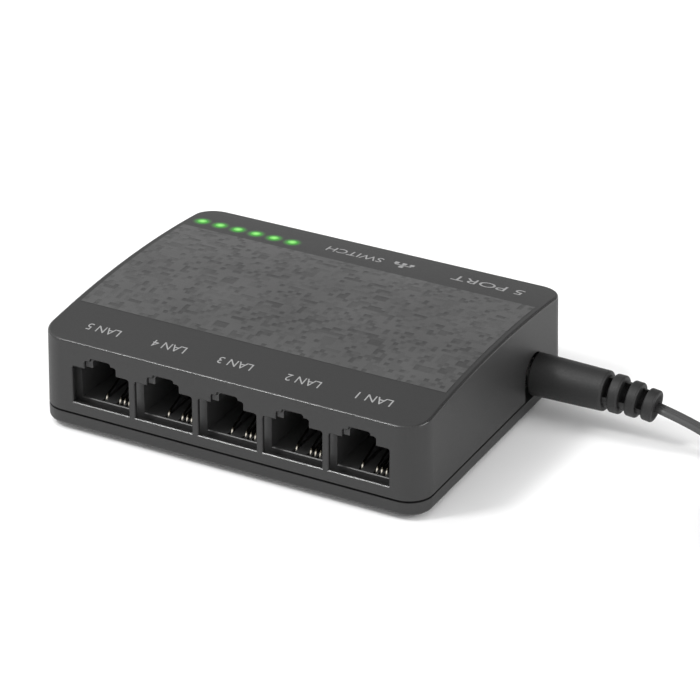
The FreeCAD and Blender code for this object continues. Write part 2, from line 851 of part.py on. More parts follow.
def light_pipe():
    """One clear moulding: a bar with a rod to each hole in the top."""
    middle = f"light_first + {(LIGHTS - 1) / 2} * light_pitch"
    span = f"{LIGHTS - 1} * light_pitch + 2"
    foot = (middle, "light_y + light_bar_offset", "light_bar_bottom")
    parts = [block("pipe_bar", foot, (span, "light_bar_depth", "light_bar_height"))]
    for number in range(LIGHTS):
        foot = (light_x(number), "light_y", "board_bottom + board_thickness + light_rod_gap")
        parts.append(cylinder(f"pipe_rod_{number + 1}", foot, "light_radius", "form_top"))
    tall = fuse("pipe_tall", *parts)
    node("light_pipe", common("pipe_trimmed", tall, arch("light_arch", "-light_proud")))


# ---------------------------------------------------------------- power jack and plug


def power_jack():
    top = "board_bottom + board_thickness"
    rear = "socket_front - socket_length"
    height = f"jack_axis_z + socket_width / 2 - ({top})"
    body = block(
        "socket_body",
        ("socket_front - socket_length / 2", "jack_axis_y", top),
        ("socket_length", "socket_width", height),
    )
    pin_foot = (f"{rear} + socket_rear_wall", "jack_axis_y", "jack_axis_z")
    bore = cylinder("socket_way", pin_foot, "socket_bore", "socket_length", "X")
    spring_x = "socket_front - spring_setback"
    roof = "jack_axis_z + socket_bore"
    lengths = ("spring_length + 2 * spring_gap", "spring_width + 2 * spring_gap", "4 * spring_thickness")
    groove = block("spring_way", (spring_x, "jack_axis_y", f"{roof} - spring_thickness"), lengths)
    node("power_jack_housing", cut("socket_bored", body, bore, groove))
    pin_length = "socket_length - socket_rear_wall - socket_pin_short"
    node("power_jack_pin", cylinder("socket_pin", pin_foot, "socket_pin_radius", pin_length, "X"))
    leaf = ("spring_length", "spring_width", "spring_thickness")
    leaf_foot = (spring_x, "jack_axis_y", f"{roof} + spring_gap")
    node("power_jack_spring", block("spring_leaf", leaf_foot, leaf))


def along_x(distance):
    """A placement on the relief's downward bend, at a distance past the grip."""
    start = Vector(
        value("plug_face") + value("plug_grip_length"), value("jack_axis_y"), value("jack_axis_z")
    )
    radius = value("relief_bend_radius")
    angle = distance / radius
    spot = start + Vector(radius * math.sin(angle), 0, -radius * (1 - math.cos(angle)))
    turn = FreeCAD.Rotation(Vector(0, 1, 0), 90 + math.degrees(angle))
    return FreeCAD.Placement(spot, turn)


def relief_shape():
    """A bending core with three collars, and webs between them that leave two pockets."""
    length = value("relief_length")
    arc = Part.Wire(Part.Arc(along_x(0).Base, along_x(length / 2).Base, along_x(length).Base).toShape())
    pieces = [tube(arc, value("relief_core_radius"))]
    before = 0
    for start, radius in COLLARS:
        pieces.append(web(before, start, radius - value("web_drop")))
        collar = Part.makeCylinder(radius, value("collar_length"))
        collar = collar.makeFillet(value("collar_rounding"), [edge for edge in collar.Edges if edge.Closed])
        collar.Placement = along_x(start)
        pieces.append(collar)
        before = start + value("collar_length")
    return pieces[0].multiFuse(pieces[1:]).removeSplitter()


def web(start, end, radius):
    """What joins two collars: a short round stretch with a pocket from either side."""
    overlap = 0.2
    length = end - start + 2 * overlap
    ring = Part.makeCylinder(radius, length)
    slab, pocket = value("web_slab") / 2, value("web_pocket")
    for side in (0, 180):
        corner = Vector(slab, -pocket / 2, 0)
        hole = Part.makeBox(radius, pocket, length, corner)
        hole.rotate(Vector(), Vector(0, 0, 1), value("web_turn") + side)
        ring = ring.cut(hole)
    ring.Placement = along_x(start - overlap)
    return ring


def plug():
    axis = ("jack_axis_y", "jack_axis_z")
    face = "plug_face"
    radii = ("plug_grip_radius", "plug_grip_end_radius")
    grip = cone("grip_body", (face, *axis), *radii, "plug_grip_length", "X")
    middle = value("plug_face") + value("plug_grip_length") / 2
    rear = rounded("grip_rear_rounded", grip, "top_rounding", lambda edge: edge.BoundBox.XMin > middle)
    ends = rounded(
        "grip_rounded", rear, "plug_front_rounding", lambda edge: edge.BoundBox.XMax < middle
    )
    relief = feature("relief_rings", relief_shape())
    solid = fuse("plug_moulding", ends, relief)
    root = f"{face} + sleeve_root"
    seat_foot = (f"{face} - overshoot", *axis)
    seat = cylinder("sleeve_seat", seat_foot, "sleeve_radius", "sleeve_root + overshoot", "X")
    node("plug_grip", cut("plug_grip_solid", solid, seat))
    tip = f"{face} - sleeve_length"
    long = "sleeve_length + sleeve_root"
    inner = "sleeve_radius - sleeve_wall"
    for label, outer, bore in (
        ("plug_sleeve", "sleeve_radius", inner),
        ("plug_insulator", inner, "plug_tube_radius"),
        ("plug_contact_tube", "plug_tube_radius", "plug_tube_bore"),
    ):
        rod = cylinder(f"{label}_rod", (tip, *axis), outer, long, "X")
        start = (f"{tip} - overshoot", *axis)
        hole = cylinder(f"{label}_hole", start, bore, f"{long} + 2 * overshoot", "X")
        node(label, cut(f"{label}_bored", rod, hole))


# ---------------------------------------------------------------- power lead


def lead_route():
    """The free stretch of the lead, from the plug down to the floor and into the coil."""
    exit_point = along_x(value("relief_length")).Base
    floor = value("cord_radius")
    return [
        exit_point,
        Vector(74.5, 17.3, 6.35),
        Vector(82.5, 16.9, 3.3),
        Vector(91.0, 16.1, floor + 0.1),
        Vector(97.5, 15.6, floor),
        Vector(103.0, 15.9, floor),
    ]


def tail_route():
    """The stretch from the top of the coil to the wall adapter."""
    end = value("adapter_x") - value("adapter_relief_length")
    middle = value("adapter_width") / 2
    return [
        Vector(124.0, 16.7, 6.0),
        Vector(131.0, 16.7, 6.4),
        Vector(137.5, 16.0, 9.2),
        Vector(144.0, 14.6, 12.8),
        Vector(150.5, 13.0, 15.3),
        Vector(end, value("adapter_y"), middle),
    ]


def lead_tube(label, route):
    """A tube along one free stretch; its volume is compared with its length."""
    radius = value("cord_radius")
    wire, radii = path_wire(route)
    solid = tube(wire, radius)
    share = solid.Volume / (math.pi * radius**2 * wire.Length)
    print(label, "bend radii", [round(r, 1) for r in radii])
    print(label, "length", round(wire.Length, 1), "volume share", round(share, 4))
    node(label, feature(label + "_tube", solid))


def power_lead():
    lead_tube("power_cord", lead_route())
    lead_tube("power_cord_tail", tail_route())
    foot = ("coil_centre_x", "coil_centre_y", "coil_bottom")
    ring = cylinder("coil_outside", foot, "coil_outer_radius", "coil_height")
    hole = cylinder("coil_inside", foot, "coil_inner_radius", "coil_height")
    node("cord_coil", cut("coil_ring", ring, hole))


def cord_tie():
    """A band round the coil's bundle, on the side away from the switch."""
    width = "coil_outer_radius - coil_inner_radius + 0.8"
    middle = "coil_centre_x + coil_mean_radius"
    outer = block(
        "tie_outer",
        (middle, "coil_centre_y", 0),
        (f"{width} + 2 * tie_thickness", "tie_width", "coil_bottom + coil_height + tie_thickness"),
    )
    soft = rounded("tie_rounded", outer, "tie_thickness", lambda edge: edge.BoundBox.YLength > 1)
    opening = (width, "tie_width + overshoot", "coil_height")
    inner = block("tie_inner", (middle, "coil_centre_y", "coil_bottom"), opening)
    node("cord_tie", cut("tie_band", soft, inner))


def wall_adapter():
    """The mains adapter: a hollow case, its pin plate, the pins and what they feed."""
    back = "adapter_y - adapter_depth / 2"
    middle = "adapter_width / 2"
    whole = box(
        "adapter_block", ("adapter_x", back, 0), ("adapter_length", "adapter_depth", "adapter_width")
    )
    case = rounded("adapter_rounded", whole, "adapter_wall", lambda edge: True)
    inner_lengths = (
        "adapter_length - 2 * adapter_wall",
        "adapter_depth",
        "adapter_width - 2 * adapter_wall",
    )
    inside = box(
        "adapter_inside",
        ("adapter_x + adapter_wall", f"{back} - adapter_wall", "adapter_wall"),
        inner_lengths,
    )
    mouth = ("adapter_x", f"{back} - overshoot", 0)
    mouth_size = ("adapter_length", "adapter_face_thickness + overshoot", "adapter_width")
    cutter = box("adapter_mouth", mouth, mouth_size)
    node("adapter_case", cut("adapter_shell", case, inside, cutter))
    plate_size = ("adapter_length", "adapter_face_thickness", "adapter_width")
    plate = box("plate_block", ("adapter_x", back, 0), plate_size)
    soft = rounded("plate_rounded", plate, "small_rounding", lambda edge: edge.BoundBox.YLength > 1)
    node("adapter_pin_plate", soft)
    adapter_pins(back, middle)
    inner = "adapter_x + adapter_inner_gap"
    board_foot = (inner, f"{back} + adapter_board_setback", "adapter_wall + overshoot")
    board_size = ("adapter_board_length", "adapter_board_thickness", "adapter_board_width")
    node("adapter_board", box("adapter_board_plate", board_foot, board_size))
    front = f"{back} + adapter_board_setback + adapter_board_thickness"
    core_foot = (f"{inner} + adapter_core_inset", front, "adapter_width / 2 - adapter_core_width / 2")
    core_size = ("adapter_core_length", "adapter_core_depth", "adapter_core_width")
    node("adapter_transformer", box("adapter_transformer_block", core_foot, core_size))
    foot = ("adapter_x - adapter_relief_length", "adapter_y", middle)
    ends = ("adapter_relief_small", "adapter_relief_large")
    node("adapter_relief", cone("adapter_relief_cone", foot, *ends, "adapter_relief_length", "X"))


def adapter_pins(back, middle):
    pins = []
    for side, word in ((-1, "lower"), (1, "upper")):
        height = f"{middle} + {side} * adapter_pin_spacing / 2"
        foot = ("adapter_x + adapter_pin_x", f"{back} - adapter_pin_length", height)
        pin = cylinder(f"mains_pin_{word}", foot, "adapter_pin_radius", "adapter_pin_length", "Y")
        pins.append(rounded(f"mains_pin_{word}_rounded", pin, "small_rounding", lowest_y_edge))
    node("adapter_pins", group("mains_pins", *pins))


def lowest_y_edge(edge):
    return edge.BoundBox.YLength < 0.01 and edge.BoundBox.YMin < value("adapter_y") - 20


# ---------------------------------------------------------------- hand-over


def check(item):
    failed = {"Invalid", "Error"} & set(item.State)
    if failed:
        raise RuntimeError(f"{item.Name} is {failed}")


def export():
    doc.recompute()
    for item in doc.Objects:
        check(item)
    for label, item in nodes.items():
        if item.Shape.isNull() or not item.Shape.isValid():
            raise RuntimeError(f"{label} has no valid shape")
    os.makedirs("parts", exist_ok=True)
    for label, item in nodes.items():
        item.Shape.exportStep(f"parts/{label}.step")
    print(len(nodes), "nodes")


fill_sheet()
upper_shell()
lower_shell()
feet()
case_screws()
circuit_board()
jack_block()
contact_carriers()
contact_sets()
board_parts()
light_pipe()
power_jack()
plug()
power_lead()
cord_tie()
wall_adapter()
export()
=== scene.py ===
"""Looks of the desktop network switch: camera, studio, cords, printed marks and materials.

Lengths are in metres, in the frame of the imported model: the ports face -Y and +Z is up.
"""
import math
import random

import bmesh
import bpy
from mathutils import Matrix, Vector


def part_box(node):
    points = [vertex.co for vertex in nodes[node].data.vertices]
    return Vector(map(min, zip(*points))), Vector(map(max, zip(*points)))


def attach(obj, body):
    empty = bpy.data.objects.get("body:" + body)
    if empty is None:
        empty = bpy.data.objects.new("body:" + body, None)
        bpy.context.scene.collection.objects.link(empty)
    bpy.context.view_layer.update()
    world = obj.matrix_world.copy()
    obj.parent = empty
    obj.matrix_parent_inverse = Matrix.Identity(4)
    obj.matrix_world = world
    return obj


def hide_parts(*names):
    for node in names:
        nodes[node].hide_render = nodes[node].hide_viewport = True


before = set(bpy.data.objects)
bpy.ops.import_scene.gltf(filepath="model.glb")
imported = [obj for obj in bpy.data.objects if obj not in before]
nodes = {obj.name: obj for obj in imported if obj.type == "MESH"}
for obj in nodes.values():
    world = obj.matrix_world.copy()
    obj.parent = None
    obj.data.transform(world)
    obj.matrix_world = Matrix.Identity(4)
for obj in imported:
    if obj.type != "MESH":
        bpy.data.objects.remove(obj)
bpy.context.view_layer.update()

MM = 0.001
CASE_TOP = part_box("upper_shell")[1].z

# The top of the case is a barrel that runs from side to side.
ARCH_RADIUS = 240.0 * MM
ARCH_MIDDLE_Y = 1.7 * MM

# Lights along the rear left edge. Round each one the case plastic is given a painted green halo, on its
# top only: emission that stands in for the light each one spills onto the case.
LIGHTS = 6
LIGHT_FIRST_X = -37.4 * MM
LIGHT_PITCH = 4.22 * MM
LIGHT_Y = 23.85 * MM
LIGHT_CORE = (0.25 * MM, 1.05 * MM)
PAINTED_HALO_REACH = (0.9 * MM, 2.3 * MM)
PAINTED_HALO_HEIGHTS = (18.0 * MM, 19.0 * MM)
PAINTED_HALO_STRENGTH = 0.42
LIGHT_STRENGTH = 0.9

# The power plug: its axis, its end at the socket darkened as a painted shadow, the radii of the painted
# shade in the pockets of its relief, and the bend of its strain relief.
PLUG_AXIS_Y = 17.3 * MM
PLUG_AXIS_Z = 8.74 * MM
PLUG_FACE = 41.55 * MM
PLUG_SHADOW_LENGTH = 5.0 * MM
POCKET_SHADE_RADII = (2.1 * MM, 2.9 * MM)
RELIEF_START = 57.05 * MM
RELIEF_BEND = 60.0 * MM

# The contact wires keep their plated colour up to this height; above the fade they are coloured near
# black, a painted shade for the shade inside the jack.
BEND_TOP = 6.85 * MM
WIRE_SHADE_FADE = 0.3 * MM

# The patterned field on the top, between two smooth bands.
FIELD_FRONT = -19.1 * MM
FIELD_REAR = 20.2 * MM


def top_height(y):
    """Height of the arched top at a place from front to rear."""
    away = y - ARCH_MIDDLE_Y
    return CASE_TOP - ARCH_RADIUS + math.sqrt(ARCH_RADIUS**2 - away**2)


# ---------------------------------------------------------------- camera

CAMERA_PLACE = Vector((251.7, -459.45, 285.25)) * MM
CAMERA_AZIMUTH = math.radians(27.78)
CAMERA_ELEVATION = math.radians(27.59)
CAMERA_ROLL = math.radians(0.32)
CAMERA_LENS = 155.0


def make_camera():
    data = bpy.data.cameras.new("camera")
    data.lens = CAMERA_LENS
    data.sensor_width = 36.0
    data.clip_start = 0.01
    camera = bpy.data.objects.new("camera", data)
    bpy.context.scene.collection.objects.link(camera)
    around = Matrix.Rotation(CAMERA_AZIMUTH, 4, "Z")
    tilt = Matrix.Rotation(math.pi / 2 - CAMERA_ELEVATION, 4, "X")
    roll = Matrix.Rotation(CAMERA_ROLL, 4, "Z")
    camera.matrix_world = Matrix.Translation(CAMERA_PLACE) @ around @ tilt @ roll
    bpy.context.scene.camera = camera


# ---------------------------------------------------------------- helpers


def add_object(name, data, material=None):
    piece = bpy.data.objects.new(name, data)
    bpy.context.scene.collection.objects.link(piece)
    if material is not None:
        piece.data.materials.append(material)
    return piece


def mesh_object(name, built, material=None, smooth=True):
    """A piece from a bmesh, which is freed."""
    data = bpy.data.meshes.new(name)
    built.to_mesh(data)
    built.free()
    for face in data.polygons:
        face.use_smooth = smooth
    return add_object(name, data, material)


class Nodes:
    """A material's node tree, with short calls for what the materials here use."""

    def __init__(self, name):
        self.material = bpy.data.materials.new(name)
        self.material.use_nodes = True
        self.tree = self.material.node_tree
        self.shader = self.tree.nodes["Principled BSDF"]
        self.rough = None

    def add(self, kind, **settings):
        made = self.tree.nodes.new(kind)
        for name, setting in settings.items():
            setattr(made, name, setting)
        return made

    def link(self, out, into):
        self.tree.links.new(out, into)

    def place(self):
        """Where the shaded point is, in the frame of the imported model."""
        return self.add("ShaderNodeTexCoord").outputs["Object"]

    def axes(self, vector=None):
        """The three parts of a vector, which is the shaded point's place if none is given."""
        split = self.add("ShaderNodeSeparateXYZ")
        self.link(vector or self.place(), split.inputs[0])
        return split.outputs["X"], split.outputs["Y"], split.outputs["Z"]

    def noise(self, scale, detail=2.0):
        made = self.add("ShaderNodeTexNoise")
        made.inputs["Scale"].default_value = scale
        made.inputs["Detail"].default_value = detail
        self.link(self.place(), made.inputs["Vector"])
        return made.outputs["Fac"]

    def ranged(self, source, low, high, from_low, from_high):
        """Runs from low to high while the source runs from from_low to from_high."""
        made = self.add("ShaderNodeMapRange")
        made.inputs["From Min"].default_value = from_low
        made.inputs["From Max"].default_value = from_high
        made.inputs["To Min"].default_value = low
        made.inputs["To Max"].default_value = high
        self.link(source, made.inputs["Value"])
        return made.outputs["Result"]

    def maths(self, operation, first, second=0.0):
        made = self.add("ShaderNodeMath", operation=operation)
        for socket, term in zip(made.inputs, (first, second)):
            if isinstance(term, (int, float)):
                socket.default_value = term
            else:
                self.link(term, socket)
        return made.outputs["Value"]

    def distance(self, first, second):
        """How long the slant is between two sides at a right angle."""
        square = self.maths("POWER", first, 2.0), self.maths("POWER", second, 2.0)
        return self.maths("SQRT", self.maths("ADD", *square))

    def mixed(self, share, first, second):
        """A colour between two colours, each a tuple or a socket."""
        made = self.add("ShaderNodeMix", data_type="RGBA")
        sockets = made.inputs["Factor"], made.inputs[6], made.inputs[7]
        for socket, term in zip(sockets, (share, first, second)):
            if isinstance(term, (int, float)):
                socket.default_value = term
            elif isinstance(term, tuple):
                socket.default_value = (*term, 1.0)
            else:
                self.link(term, socket)
        return made.outputs[2]

    def bump(self, height, distance):
        made = self.add("ShaderNodeBump")
        made.inputs["Distance"].default_value = distance
        self.link(height, made.inputs["Height"])
        self.link(made.outputs["Normal"], self.shader.inputs["Normal"])

    def set(self, **values):
        for name, number in values.items():
            self.shader.inputs[name.replace("_", " ")].default_value = number


def grey(level):
    return (level, level, level)


CLOUD_SCALE = 60.0
GRAIN_DEPTH = 0.02 * MM
NOISE_MIDDLE = (0.3, 0.7)
EDGE_SMOOTHING = 0.36
EDGE_SLANTS = (0.08, 0.2)


def grained(name, dark, light, roughness, grain=0.15 * MM):
    """A surface with a fine raised grain, and a tone and roughness that vary a little."""
    made = Nodes(name)
    tone = made.noise(CLOUD_SCALE, 3.0)
    made.link(made.mixed(tone, dark, light), made.shader.inputs["Base Color"])
    fine = made.noise(1.0 / grain)
    made.rough = made.ranged(fine, *roughness, *NOISE_MIDDLE)
    made.link(made.rough, made.shader.inputs["Roughness"])
    made.bump(fine, GRAIN_DEPTH)
    return made


def polish_edges(made):
    """Makes the level edges smoother than the faces, so that they catch the light."""
    normal = made.add("ShaderNodeNewGeometry").outputs["True Normal"]
    upward = made.maths("ABSOLUTE", made.axes(normal)[2])
    slant = made.maths("MULTIPLY", upward, made.maths("SUBTRACT", 1.0, upward))
    smoothing = made.ranged(slant, 1.0, EDGE_SMOOTHING, *EDGE_SLANTS)
    made.link(made.maths("MULTIPLY", made.rough, smoothing), made.shader.inputs["Roughness"])


# ---------------------------------------------------------------- cords

CORE_RADIUS = 0.74 * MM
CORE_OFFSET = 0.67 * MM
LEAD_ROUTE = [
    (67.2, 17.3, 7.88),
    (74.5, 17.3, 6.35),
    (82.5, 16.9, 3.3),
    (91.0, 16.1, 1.1),
    (97.5, 15.6, 1.0),
    (103.0, 15.9, 1.0),
]
TAIL_ROUTE = [
    (124.0, 16.7, 6.0),
    (131.0, 16.7, 6.4),
    (137.5, 16.0, 9.2),
    (144.0, 14.6, 12.8),
    (150.5, 13.0, 15.3),
    (157.0, 12.0, 16.0),
]
COIL_TURNS = 11
COIL_RADII = (20.1, 17.0, 13.9)
COIL_LAYERS = (1.5, 3.25, 5.0, 6.75)
POINTS_PER_TURN = 16
FIRST_SHIFT = 0.75
SHIFT_TURNS = 0.25
CORE_STEPS = 9


def coil_steps():
    """Where each turn lies: (the turn at which the shift to it starts, ring, layer)."""
    steps, ring, layer, when = [(0.0, 0, 0)], 0, 0, FIRST_SHIFT
    inwards = 1
    while when < COIL_TURNS - 0.5:
        at_rim = ring + inwards not in range(len(COIL_RADII))
        if at_rim and layer + 1 < len(COIL_LAYERS):
            layer += 1
            inwards = -inwards
            when -= SHIFT_TURNS
        elif not at_rim:
            ring += inwards
        steps.append((when, ring, layer))
        when += 1.0
    return steps


def coil_points():
    """Control points of the neat round coil, wound clockwise in layers."""
    low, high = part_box("cord_coil")
    middle = (low + high) / 2
    # A spline of this order runs inside its control points by this share.
    shrink = 0.75 + 0.25 * math.cos(2 * math.pi / POINTS_PER_TURN)
    steps = coil_steps()
    points = []
    for number in range(1, COIL_TURNS * POINTS_PER_TURN):
        turn = number / POINTS_PER_TURN
        done = [step for step in steps if step[0] <= turn]
        _, ring, layer = done[-1]
        radius, height = COIL_RADII[ring], COIL_LAYERS[layer]
        if len(done) > 1:
            share = min(1.0, (turn - done[-1][0]) / SHIFT_TURNS)
            share = share * share * (3 - 2 * share)
            _, ring_before, layer_before = done[-2]
            radius = COIL_RADII[ring_before] + share * (radius - COIL_RADII[ring_before])
            height = COIL_LAYERS[layer_before] + share * (height - COIL_LAYERS[layer_before])
        angle = math.pi / 2 - 2 * math.pi * turn
        across = radius * MM / shrink
        x = middle.x + across * math.cos(angle)
        y = middle.y + across * math.sin(angle)
        points.append(Vector((x, y, height * MM)))
    return points


def cord_line():
    """The lead's centreline, read from one smooth spline through its control points."""
    points = [Vector(point) * MM for point in LEAD_ROUTE]
    points += coil_points()
    points += [Vector(point) * MM for point in TAIL_ROUTE]
    curve = bpy.data.curves.new("lead_route", "CURVE")
    curve.dimensions = "3D"
    spline = curve.splines.new("NURBS")
    spline.points.add(len(points) - 1)
    for knot, point in zip(spline.points, points):
        knot.co = (*point, 1.0)
    spline.order_u = 3
    spline.use_endpoint_u = True
    spline.resolution_u = 6
    holder = bpy.data.objects.new("lead_route", curve)
    line = bpy.data.meshes.new_from_object(holder)
    found = [vertex.co.copy() for vertex in line.vertices]
    bpy.data.objects.remove(holder)
    bpy.data.curves.remove(curve)
    bpy.data.meshes.remove(line)
    return found


def twin_section():
    """The lead's outline: two round cores side by side with a groove between them."""
    outline = []
    reach = math.pi - math.acos(CORE_OFFSET / CORE_RADIUS)
    for side in (1, -1):
        for number in range(CORE_STEPS):
            angle = -reach + number / (CORE_STEPS - 1) * 2 * reach
            x = side * CORE_OFFSET + side * CORE_RADIUS * math.cos(angle)
            outline.append((x, side * CORE_RADIUS * math.sin(angle)))
    return outline


def swept(line, outline):
    """A tube with that outline along a line; its width stays level."""
    built = bmesh.new()
    rings = []
    for number, here in enumerate(line):
        before, after = line[max(number - 1, 0)], line[min(number + 1, len(line) - 1)]
        ahead = (after - before).normalized()
        level = ahead.cross(Vector((0, 0, 1))).normalized()
        up = level.cross(ahead)
        rings.append([built.verts.new(here + level * x + up * y) for x, y in outline])
    size = len(outline)
    for first, last in zip(rings, rings[1:]):
        for n in range(size):
            built.faces.new((first[n], first[(n + 1) % size], last[(n + 1) % size], last[n]))
    built.faces.new(list(reversed(rings[0])))
    built.faces.new(rings[-1])
    bmesh.ops.recalc_face_normals(built, faces=built.faces)
    return built


def make_cord(vinyl):
    line = cord_line()
    lead = mesh_object("power_lead", swept(line, twin_section()), vinyl)
    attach(lead, "power_lead")
    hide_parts("power_cord", "cord_coil", "power_cord_tail")
    on_it = ["plug_grip", "plug_sleeve", "plug_insulator", "plug_contact_tube", "cord_tie"]
    on_it += ["adapter_case", "adapter_pin_plate", "adapter_pins", "adapter_relief"]
    on_it += ["adapter_board", "adapter_transformer"]


# ---------------------------------------------------------------- patterned top

FIELD_CELL = 0.93 * MM
FIELD_HALF_WIDTH = 39.7 * MM
FIELD_LEVELS = 4
FIELD_STEP = 0.010 * MM
FIELD_BASE = 0.012 * MM
FIELD_SEED = 5
CELLS_PER_BLOCK = 7


def field_levels(columns, rows):
    """A level for each cell: small random blocks laid over each other."""
    pick = random.Random(FIELD_SEED)
    mostly_light = (0, 1, 2, 2, 3, 3, 3, 3, 3)
    levels = [[pick.choice(mostly_light) for _ in range(columns)] for _ in range(rows)]
    for _ in range(columns * rows // CELLS_PER_BLOCK):
        wide, deep = pick.choice((1, 2, 2, 3)), pick.choice((1, 1, 2))
        column, row = pick.randrange(columns), pick.randrange(rows)
        level = pick.choice(mostly_light)
        for y in range(row, min(rows, row + deep)):
            for x in range(column, min(columns, column + wide)):
                levels[y][x] = level
    return levels


def make_field(materials):
    """The relief of small square facets, each standing at its own level over the arch."""
    columns = round(2 * FIELD_HALF_WIDTH / FIELD_CELL)
    rows = round((FIELD_REAR - FIELD_FRONT) / FIELD_CELL)
    wide, deep = 2 * FIELD_HALF_WIDTH / columns, (FIELD_REAR - FIELD_FRONT) / rows
    levels = field_levels(columns, rows)
    built = bmesh.new()

    def corner(column, row, height):
        y = FIELD_FRONT + row * deep
        return built.verts.new((-FIELD_HALF_WIDTH + column * wide, y, top_height(y) + height))

    def wall(start, end, low, high, material):
        spots = [corner(*start, low), corner(*end, low), corner(*end, high), corner(*start, high)]
        built.faces.new(spots).material_index = material

    def height_at(column, row):
        if 0 <= column < columns and 0 <= row < rows:
            return FIELD_BASE + levels[row][column] * FIELD_STEP
        return 0.0

    for row in range(rows):
        for column in range(columns):
            level, height = levels[row][column], height_at(column, row)
            spots = [(column, row), (column + 1, row), (column + 1, row + 1), (column, row + 1)]
            built.faces.new([corner(*spot, height) for spot in spots]).material_index = level
            around = [(column, row - 1), (column + 1, row), (column, row + 1), (column - 1, row)]
            for number, neighbour in enumerate(around):
                low = height_at(*neighbour)
                if low < height:
                    wall(spots[number], spots[(number + 1) % 4], low, height, level)
    bmesh.ops.remove_doubles(built, verts=built.verts, dist=FIELD_STEP / 10)
    field = mesh_object("top_pattern", built, smooth=False)
    for material in materials:
        field.data.materials.append(material)
    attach(field, "switch")


# ---------------------------------------------------------------- printed marks

INK_THICKNESS = 0.02 * MM
INK_SINK = 0.2 * INK_THICKNESS


def text_mesh(words, height, wide):
    """Flat lettering as a mesh, centred, with its height and width given in millimetres."""
    curve = bpy.data.curves.new("words", "FONT")
    curve.body = words
    curve.align_x = "CENTER"
    curve.resolution_u = 4
    holder = bpy.data.objects.new("words", curve)
    bpy.context.scene.collection.objects.link(holder)
    bpy.context.view_layer.update()
    built = bmesh.new()
    data = bpy.data.meshes.new_from_object(holder.evaluated_get(bpy.context.evaluated_depsgraph_get()))
    built.from_mesh(data)
    bpy.data.objects.remove(holder)
    bpy.data.curves.remove(curve)
    bpy.data.meshes.remove(data)
    xs = [vertex.co.x for vertex in built.verts]
    ys = [vertex.co.y for vertex in built.verts]
    middle = Vector(((min(xs) + max(xs)) / 2, (min(ys) + max(ys)) / 2, 0))
    across, tall = max(xs) - min(xs), max(ys) - min(ys)
    for vertex in built.verts:
        vertex.co -= middle
        vertex.co.x *= wide * MM / across
        vertex.co.y *= height * MM / tall
    return built


def onto_top(built, x, y):
    """Turns a flat mark to be read from the rear and lays it on the arch as thin ink."""
    thick = bmesh.ops.extrude_face_region(built, geom=built.faces[:])
    raised = [item for item in thick["geom"] if isinstance(item, bmesh.types.BMVert)]
    for vertex in built.verts:
        vertex.co.z = 0.0
    for vertex in raised:
        vertex.co.z = INK_THICKNESS
    for vertex in built.verts:
        vertex.co.x, vertex.co.y = x - vertex.co.x, y - vertex.co.y
        vertex.co.z += top_height(vertex.co.y) - INK_SINK
    bmesh.ops.recalc_face_normals(built, faces=built.faces)
    return built


# Millimetres, each size as height and width.
PORT_LABEL_X = {5: -29.9, 4: -15.3, 3: -0.8, 2: 13.7, 1: 28.7}
PORT_LABEL_Y = -26.4
PORT_LABEL_SIZE = (2.1, 7.2)
TITLE_SIZE = (2.3, 12.5)
TITLE_PLACE = (-2.6, 25.2)
COUNT_SIZE = (2.5, 15.5)
COUNT_PLACE = (27.0, 25.4)
SIGN_PLACE = (8.2, 25.2)


def make_mark(name, flat, place, ink):
    """Lays one flat mark on the top, at a place in millimetres."""
    x, y = place
    mark = mesh_object(name, onto_top(flat, x * MM, y * MM), ink, False)
    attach(mark, "switch")


def make_marks(ink):
    for number, x in PORT_LABEL_X.items():
        words = text_mesh(f"LAN {number}", *PORT_LABEL_SIZE)
        make_mark(f"port_label_{number}", words, (x, PORT_LABEL_Y), ink)
    make_mark("top_title", text_mesh("SWITCH", *TITLE_SIZE), TITLE_PLACE, ink)
    make_mark("top_port_count", text_mesh("5 PORT", *COUNT_SIZE), COUNT_PLACE, ink)
    make_mark("top_network_sign", network_sign(), SIGN_PLACE, ink)


def network_sign():
    """A plain sign for a network: one box joined by lines to three others."""
    built = bmesh.new()
    box_side, line = 0.95 * MM, 0.28 * MM
    spread, rise = 1.7 * MM, 0.85 * MM

    def bar(x, y, wide, tall):
        spots = [(-1, -1), (1, -1), (1, 1), (-1, 1)]
        built.faces.new([built.verts.new((x + sx * wide / 2, y + sy * tall / 2, 0)) for sx, sy in spots])

    bar(0, rise, box_side, box_side)
    for x in (-spread, 0, spread):
        bar(x, -rise, box_side, box_side)
        bar(x, -0.2 * rise, line, 0.45 * rise)
    bar(0, 0.2 * rise, line, 0.45 * rise)
    bar(0, 0, 2 * spread + line, line)
    return built


# ---------------------------------------------------------------- materials


def light_distance(made):
    """How far a point is, seen from above, from the middle of the nearest light."""
    x, y, _ = made.axes()
    run = made.maths("SUBTRACT", x, LIGHT_FIRST_X - LIGHT_PITCH / 2)
    part = made.maths("DIVIDE", run, LIGHT_PITCH)
    clamped = made.maths("MINIMUM", made.maths("MAXIMUM", part, 0.001), LIGHTS - 0.001)
    past = made.maths("SUBTRACT", part, made.maths("FLOOR", clamped))
    across = made.maths("MULTIPLY", made.maths("SUBTRACT", past, 0.5), LIGHT_PITCH)
    return made.distance(across, made.maths("SUBTRACT", y, LIGHT_Y))


